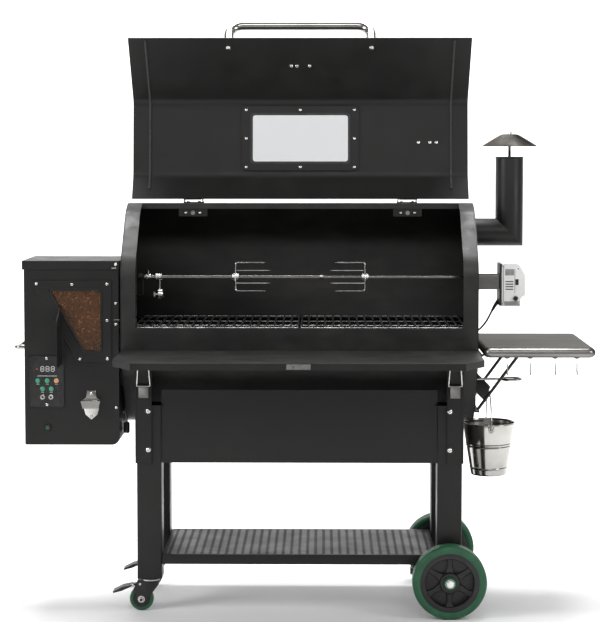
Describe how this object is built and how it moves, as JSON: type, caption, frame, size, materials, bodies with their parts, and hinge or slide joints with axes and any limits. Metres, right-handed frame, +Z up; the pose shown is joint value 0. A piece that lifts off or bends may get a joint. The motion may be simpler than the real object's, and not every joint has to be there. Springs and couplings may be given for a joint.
{
  "type": "pellet smoker grill",
  "caption": "Freestanding wood-pellet smoker with a drum body, windowed lid held open, side hopper, motor-driven spit, shelves and wheeled cart.",
  "frame": {"origin": "on the floor, under the middle of the grill's bounding box, the motor's free lead left out", "axes": "+X to the right seen from the front, +Y from the front towards the back, +Z up"},
  "size_m": [1.7898, 0.916, 1.8269],
  "materials": {
    "coat": "satin textured black powder coat",
    "steel": "polished and brushed stainless steel",
    "wire": "bright plated wire",
    "enamel": "gloss black enamel",
    "galvanised": "grey heat-stained steel",
    "plastic": "matte black moulded plastic",
    "tread": "green rubber tread on a black hub",
    "panel": "printed control panel",
    "glass": "clear heat-proof glass",
    "cable": "black cable jacket"
  },
  "bodies": {
    "grill": {"drum_wrap": "coat", "end_plate_left": "coat", "end_plate_right": "coat", "grate_left": "enamel", "grate_right": "enamel", "drip_tray": "galvanised", "fire_pot": "galvanised", "auger_motor": "plastic", "hinge_bracket_left": "coat", "hinge_bracket_right": "coat", "leg_front_left": "coat", "leg_rear_left": "coat", "leg_front_right": "coat", "leg_rear_right": "coat", "drum_cradle": "coat", "bottom_shelf": "coat", "wheel_axle": "steel", "hopper_box": "coat", "hopper_window_frame": "coat", "hopper_window_glass": "glass", "control_panel": "panel", "bottle_opener": "steel", "hopper_handle": "steel", "chimney_pipe": "coat", "side_shelf_bracket": "coat", "rotisserie_motor": "steel", "motor_bracket": "steel", "motor_cord": "cable", "cord_coil": "cable", "cord_plug": "cable"},
    "lid": {"lid_shell": "coat", "lid_window_frame": "coat", "lid_window_glass": "glass", "lid_handle": "steel"},
    "hopper_lid": {"hopper_lid": "coat"},
    "front_shelf": {"front_shelf": "coat"},
    "latch_lever_left": {"latch_lever_left": "wire"},
    "latch_lever_right": {"latch_lever_right": "wire"},
    "latch_bail_left": {"latch_bail_left": "wire"},
    "latch_bail_right": {"latch_bail_right": "wire"},
    "side_shelf": {"side_shelf": "steel", "side_shelf_strut": "coat"},
    "bucket_bail": {"bucket_bail": "wire"},
    "bucket": {"bucket": "steel"},
    "heat_shield": {"heat_shield": "galvanised"},
    "auger_screw": {"auger_screw": "galvanised"},
    "spit": {"spit_rod": "steel", "spit_fork_left": "wire", "spit_fork_right": "wire", "spit_counterweight": "wire"},
    "chimney_cap": {"chimney_cap": "galvanised"},
    "power_button": {"power_button": "plastic"},
    "wheel_front": {"wheel_front": "tread"},
    "wheel_rear": {"wheel_rear": "tread"},
    "caster_fork_front": {"caster_fork_front": "plastic"},
    "caster_wheel_front": {"caster_wheel_front": "tread"},
    "brake_pedal_front": {"brake_pedal_front": "plastic"},
    "caster_fork_rear": {"caster_fork_rear": "plastic"},
    "caster_wheel_rear": {"caster_wheel_rear": "tread"},
    "brake_pedal_rear": {"brake_pedal_rear": "plastic"}
  },
  "joints": [
    {"name": "lid_hinge", "type": "hinge", "parent": "grill", "child": "lid", "pos_m": [-0.01008, 0.167, 1.27], "axis": [1, 0, 0], "range_deg": [0, 140]},
    {"name": "hopper_lid_hinge", "type": "hinge", "parent": "grill", "child": "hopper_lid", "pos_m": [-0.70808, 0.19, 1.08], "axis": [1, 0, 0], "range_deg": [-95, 0]},
    {"name": "front_shelf_lift", "type": "slide", "parent": "grill", "child": "front_shelf", "axis": [0, 0, 1], "range_m": [0, 0.008]},
    {"name": "latch_lever_left_pivot", "type": "hinge", "parent": "grill", "child": "latch_lever_left", "pos_m": [-0.48508, -0.0823, 0.704], "axis": [1, 0, 0], "range_deg": [-100, 0]},
    {"name": "latch_bail_left_pivot", "type": "hinge", "parent": "grill", "child": "latch_bail_left", "pos_m": [-0.48508, -0.0823, 0.704], "axis": [1, 0, 0], "range_deg": [0, 60]},
    {"name": "latch_lever_right_pivot", "type": "hinge", "parent": "grill", "child": "latch_lever_right", "pos_m": [0.46492, -0.0823, 0.704], "axis": [1, 0, 0], "range_deg": [-100, 0]},
    {"name": "latch_bail_right_pivot", "type": "hinge", "parent": "grill", "child": "latch_bail_right", "pos_m": [0.46492, -0.0823, 0.704], "axis": [1, 0, 0], "range_deg": [0, 60]},
    {"name": "side_shelf_tilt", "type": "hinge", "parent": "grill", "child": "side_shelf", "pos_m": [0.54592, 0.161, 0.795], "axis": [0, 1, 0], "range_deg": [-30, 0]},
    {"name": "bucket_bail_swing", "type": "hinge", "parent": "grill", "child": "bucket_bail", "pos_m": [0.59192, 0.186, 0.652], "axis": [0, 1, 0], "range_deg": [-20, 1.5]},
    {"name": "bucket_swing", "type": "hinge", "parent": "bucket_bail", "child": "bucket", "pos_m": [0.59192, 0.186, 0.543], "axis": [0, 1, 0], "range_deg": [-12, 2]},
    {"name": "heat_shield_slide", "type": "slide", "parent": "grill", "child": "heat_shield", "axis": [1, 0, 0], "range_m": [0, 0.1]},
    {"name": "auger_spin", "type": "hinge", "parent": "grill", "child": "auger_screw", "pos_m": [-0.41008, 0.141, 0.64], "axis": [1, 0, 0], "continuous": true},
    {"name": "spit_spin", "type": "hinge", "parent": "grill", "child": "spit", "pos_m": [-0.01008, 0.141, 1.022], "axis": [1, 0, 0], "continuous": true},
    {"name": "chimney_cap_lift", "type": "slide", "parent": "grill", "child": "chimney_cap", "axis": [0, 0, 1], "range_m": [0, 0.02]},
    {"name": "power_button_press", "type": "slide", "parent": "grill", "child": "power_button", "axis": [0, 1, 0], "range_m": [0, 0.003], "stiffness_N_per_m": 400},
    {"name": "caster_front_swivel", "type": "hinge", "parent": "grill", "child": "caster_fork_front", "pos_m": [-0.47008, -0.031, 0.1], "axis": [0, 0, 1], "continuous": true},
    {"name": "caster_front_roll", "type": "hinge", "parent": "caster_fork_front", "child": "caster_wheel_front", "pos_m": [-0.49808, -0.031, 0.037], "axis": [0, 1, 0], "continuous": true},
    {"name": "brake_front_press", "type": "hinge", "parent": "caster_fork_front", "child": "brake_pedal_front", "pos_m": [-0.50408, -0.031, 0.083], "axis": [0, 1, 0], "range_deg": [-8, 0]},
    {"name": "caster_rear_swivel", "type": "hinge", "parent": "grill", "child": "caster_fork_rear", "pos_m": [-0.47008, 0.269, 0.1], "axis": [0, 0, 1], "continuous": true},
    {"name": "caster_rear_roll", "type": "hinge", "parent": "caster_fork_rear", "child": "caster_wheel_rear", "pos_m": [-0.49808, 0.269, 0.037], "axis": [0, 1, 0], "continuous": true},
    {"name": "brake_rear_press", "type": "hinge", "parent": "caster_fork_rear", "child": "brake_pedal_rear", "pos_m": [-0.50408, 0.269, 0.083], "axis": [0, 1, 0], "range_deg": [-8, 0]},
    {"name": "wheel_front_roll", "type": "hinge", "parent": "grill", "child": "wheel_front", "pos_m": [0.44692, -0.119, 0.113], "axis": [0, 1, 0], "continuous": true},
    {"name": "wheel_rear_roll", "type": "hinge", "parent": "grill", "child": "wheel_rear", "pos_m": [0.44692, 0.357, 0.113], "axis": [0, 1, 0], "continuous": true}
  ],
  "couplings": [
    {"joint": "latch_bail_left_pivot", "follows": "latch_lever_left_pivot", "ratio": -0.6},
    {"joint": "latch_bail_right_pivot", "follows": "latch_lever_right_pivot", "ratio": -0.6}
  ]
}
